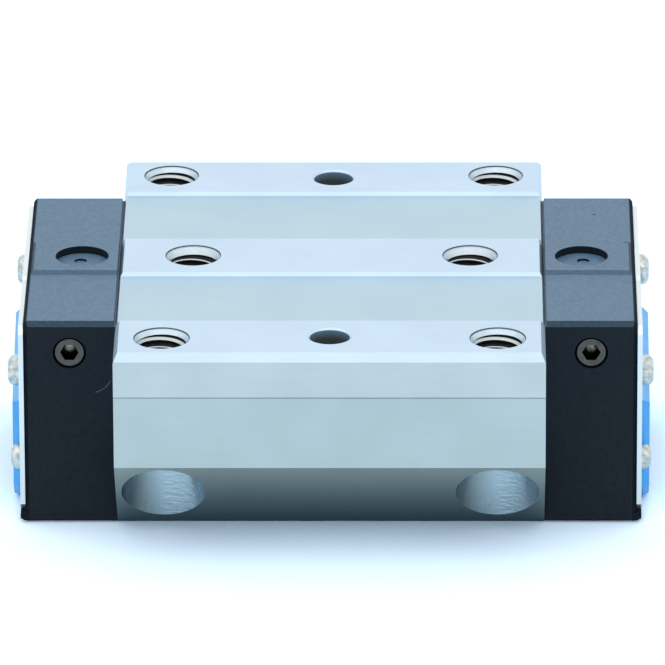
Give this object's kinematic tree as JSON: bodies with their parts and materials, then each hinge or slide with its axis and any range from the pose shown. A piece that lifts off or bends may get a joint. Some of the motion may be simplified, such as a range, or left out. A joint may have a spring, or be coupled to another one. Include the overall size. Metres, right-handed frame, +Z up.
{
  "type": "roller guide carriage",
  "caption": "Flanged recirculating-roller carriage for a profiled guide rail: steel block with tapped fixing holes, black end caps, sheet end plates and blue wiper seals.",
  "frame": {"origin": "middle of the carriage's footprint, on the plane of its underside", "axes": "+X along the rail, +Y across it, +Z up through the mounting face"},
  "size_m": [0.1202, 0.1, 0.041],
  "materials": {
    "ground_steel": "fine ground steel, satin, with a straight lay",
    "cap_plastic": "moulded black engineering plastic, fine grain",
    "plate_steel": "bright rolled sheet",
    "seal_blue": "blue moulded sealing elastomer, satin",
    "screw_steel": "bright zinc plated steel",
    "plug_steel": "dull zinc plated steel",
    "roller_steel": "ground and polished bearing steel",
    "tube_plastic": "extruded plastic",
    "strip_plastic": "moulded plastic",
    "guide_plastic": "moulded plastic, smooth",
    "side_seal_rubber": "matt rubber"
  },
  "bodies": {
    "carriage": {"carriage_body": "ground_steel", "end_cap_left": "cap_plastic", "end_cap_right": "cap_plastic", "end_plate_left": "plate_steel", "end_plate_right": "plate_steel", "end_seal_left": "seal_blue", "end_seal_right": "seal_blue", "lower_cap_screw_front_left": "screw_steel", "lower_cap_screw_front_right": "screw_steel", "lower_cap_screw_rear_left": "screw_steel", "lower_cap_screw_rear_right": "screw_steel", "lower_return_tube_front": "tube_plastic", "lower_return_tube_rear": "tube_plastic", "lower_strip_front": "strip_plastic", "lower_strip_rear": "strip_plastic", "port_plug_front_left": "plug_steel", "port_plug_front_right": "plug_steel", "port_plug_rear_left": "plug_steel", "port_plug_rear_right": "plug_steel", "side_seal_front": "side_seal_rubber", "side_seal_rear": "side_seal_rubber", "turn_guide_front_left": "guide_plastic", "turn_guide_front_right": "guide_plastic", "turn_guide_rear_left": "guide_plastic", "turn_guide_rear_right": "guide_plastic", "upper_cap_screw_front_left": "screw_steel", "upper_cap_screw_front_right": "screw_steel", "upper_cap_screw_rear_left": "screw_steel", "upper_cap_screw_rear_right": "screw_steel", "upper_return_tube_front": "tube_plastic", "upper_return_tube_rear": "tube_plastic", "upper_strip_front": "strip_plastic", "upper_strip_rear": "strip_plastic"},
    "upper_rear_load": {"upper_rear_load_rollers": "roller_steel"},
    "upper_rear_return": {"upper_rear_return_rollers": "roller_steel"},
    "upper_rear_left_turn": {"upper_rear_left_turn_rollers": "roller_steel"},
    "upper_rear_right_turn": {"upper_rear_right_turn_rollers": "roller_steel"},
    "upper_front_load": {"upper_front_load_rollers": "roller_steel"},
    "upper_front_return": {"upper_front_return_rollers": "roller_steel"},
    "upper_front_left_turn": {"upper_front_left_turn_rollers": "roller_steel"},
    "upper_front_right_turn": {"upper_front_right_turn_rollers": "roller_steel"},
    "lower_rear_load": {"lower_rear_load_rollers": "roller_steel"},
    "lower_rear_return": {"lower_rear_return_rollers": "roller_steel"},
    "lower_rear_left_turn": {"lower_rear_left_turn_rollers": "roller_steel"},
    "lower_rear_right_turn": {"lower_rear_right_turn_rollers": "roller_steel"},
    "lower_front_load": {"lower_front_load_rollers": "roller_steel"},
    "lower_front_return": {"lower_front_return_rollers": "roller_steel"},
    "lower_front_left_turn": {"lower_front_left_turn_rollers": "roller_steel"},
    "lower_front_right_turn": {"lower_front_right_turn_rollers": "roller_steel"}
  },
  "joints": [
    {"name": "upper_rear_load_slide", "type": "slide", "parent": "carriage", "child": "upper_rear_load", "axis": [1, 0, 0], "range_m": [-0.00242, 0.00242]},
    {"name": "upper_rear_return_slide", "type": "slide", "parent": "carriage", "child": "upper_rear_return", "axis": [1, 0, 0], "range_m": [-0.00244, 0.00244]},
    {"name": "upper_rear_left_turn_hinge", "type": "hinge", "parent": "carriage", "child": "upper_rear_left_turn", "pos_m": [-0.0398, 0.02105, 0.01255], "axis": [0, 0.7071, 0.7071], "range_deg": [-20, 20]},
    {"name": "upper_rear_right_turn_hinge", "type": "hinge", "parent": "carriage", "child": "upper_rear_right_turn", "pos_m": [0.0398, 0.02105, 0.01255], "axis": [0, 0.7071, 0.7071], "range_deg": [-20, 20]},
    {"name": "upper_front_load_slide", "type": "slide", "parent": "carriage", "child": "upper_front_load", "axis": [1, 0, 0], "range_m": [-0.00242, 0.00242]},
    {"name": "upper_front_return_slide", "type": "slide", "parent": "carriage", "child": "upper_front_return", "axis": [1, 0, 0], "range_m": [-0.00244, 0.00244]},
    {"name": "upper_front_left_turn_hinge", "type": "hinge", "parent": "carriage", "child": "upper_front_left_turn", "pos_m": [-0.0398, -0.02105, 0.01255], "axis": [0, -0.7071, 0.7071], "range_deg": [-20, 20]},
    {"name": "upper_front_right_turn_hinge", "type": "hinge", "parent": "carriage", "child": "upper_front_right_turn", "pos_m": [0.0398, -0.02105, 0.01255], "axis": [0, -0.7071, 0.7071], "range_deg": [-20, 20]},
    {"name": "lower_rear_load_slide", "type": "slide", "parent": "carriage", "child": "lower_rear_load", "axis": [1, 0, 0], "range_m": [-0.00248, 0.00248]},
    {"name": "lower_rear_return_slide", "type": "slide", "parent": "carriage", "child": "lower_rear_return", "axis": [1, 0, 0], "range_m": [-0.0025, 0.0025]},
    {"name": "lower_rear_left_turn_hinge", "type": "hinge", "parent": "carriage", "child": "lower_rear_left_turn", "pos_m": [-0.046, 0.02105, 0.01345], "axis": [0, 0.7071, -0.7071], "range_deg": [-20.48, 20.48]},
    {"name": "lower_rear_right_turn_hinge", "type": "hinge", "parent": "carriage", "child": "lower_rear_right_turn", "pos_m": [0.046, 0.02105, 0.01345], "axis": [0, 0.7071, -0.7071], "range_deg": [-20.48, 20.48]},
    {"name": "lower_front_load_slide", "type": "slide", "parent": "carriage", "child": "lower_front_load", "axis": [1, 0, 0], "range_m": [-0.00248, 0.00248]},
    {"name": "lower_front_return_slide", "type": "slide", "parent": "carriage", "child": "lower_front_return", "axis": [1, 0, 0], "range_m": [-0.0025, 0.0025]},
    {"name": "lower_front_left_turn_hinge", "type": "hinge", "parent": "carriage", "child": "lower_front_left_turn", "pos_m": [-0.046, -0.02105, 0.01345], "axis": [0, -0.7071, -0.7071], "range_deg": [-20.48, 20.48]},
    {"name": "lower_front_right_turn_hinge", "type": "hinge", "parent": "carriage", "child": "lower_front_right_turn", "pos_m": [0.046, -0.02105, 0.01345], "axis": [0, -0.7071, -0.7071], "range_deg": [-20.48, 20.48]}
  ],
  "couplings": [
    {"joint": "upper_rear_return_slide", "follows": "upper_rear_load_slide", "ratio": -1},
    {"joint": "upper_rear_left_turn_hinge", "follows": "upper_rear_load_slide", "rad_per_m": 142.86},
    {"joint": "upper_rear_right_turn_hinge", "follows": "upper_rear_load_slide", "rad_per_m": 142.86},
    {"joint": "upper_front_return_slide", "follows": "upper_front_load_slide", "ratio": -1},
    {"joint": "upper_front_left_turn_hinge", "follows": "upper_front_load_slide", "rad_per_m": -142.86},
    {"joint": "upper_front_right_turn_hinge", "follows": "upper_front_load_slide", "rad_per_m": -142.86},
    {"joint": "lower_rear_return_slide", "follows": "lower_rear_load_slide", "ratio": -1},
    {"joint": "lower_rear_left_turn_hinge", "follows": "lower_rear_load_slide", "rad_per_m": -142.86},
    {"joint": "lower_rear_right_turn_hinge", "follows": "lower_rear_load_slide", "rad_per_m": -142.86},
    {"joint": "lower_front_return_slide", "follows": "lower_front_load_slide", "ratio": -1},
    {"joint": "lower_front_left_turn_hinge", "follows": "lower_front_load_slide", "rad_per_m": 142.86},
    {"joint": "lower_front_right_turn_hinge", "follows": "lower_front_load_slide", "rad_per_m": 142.86}
  ]
}
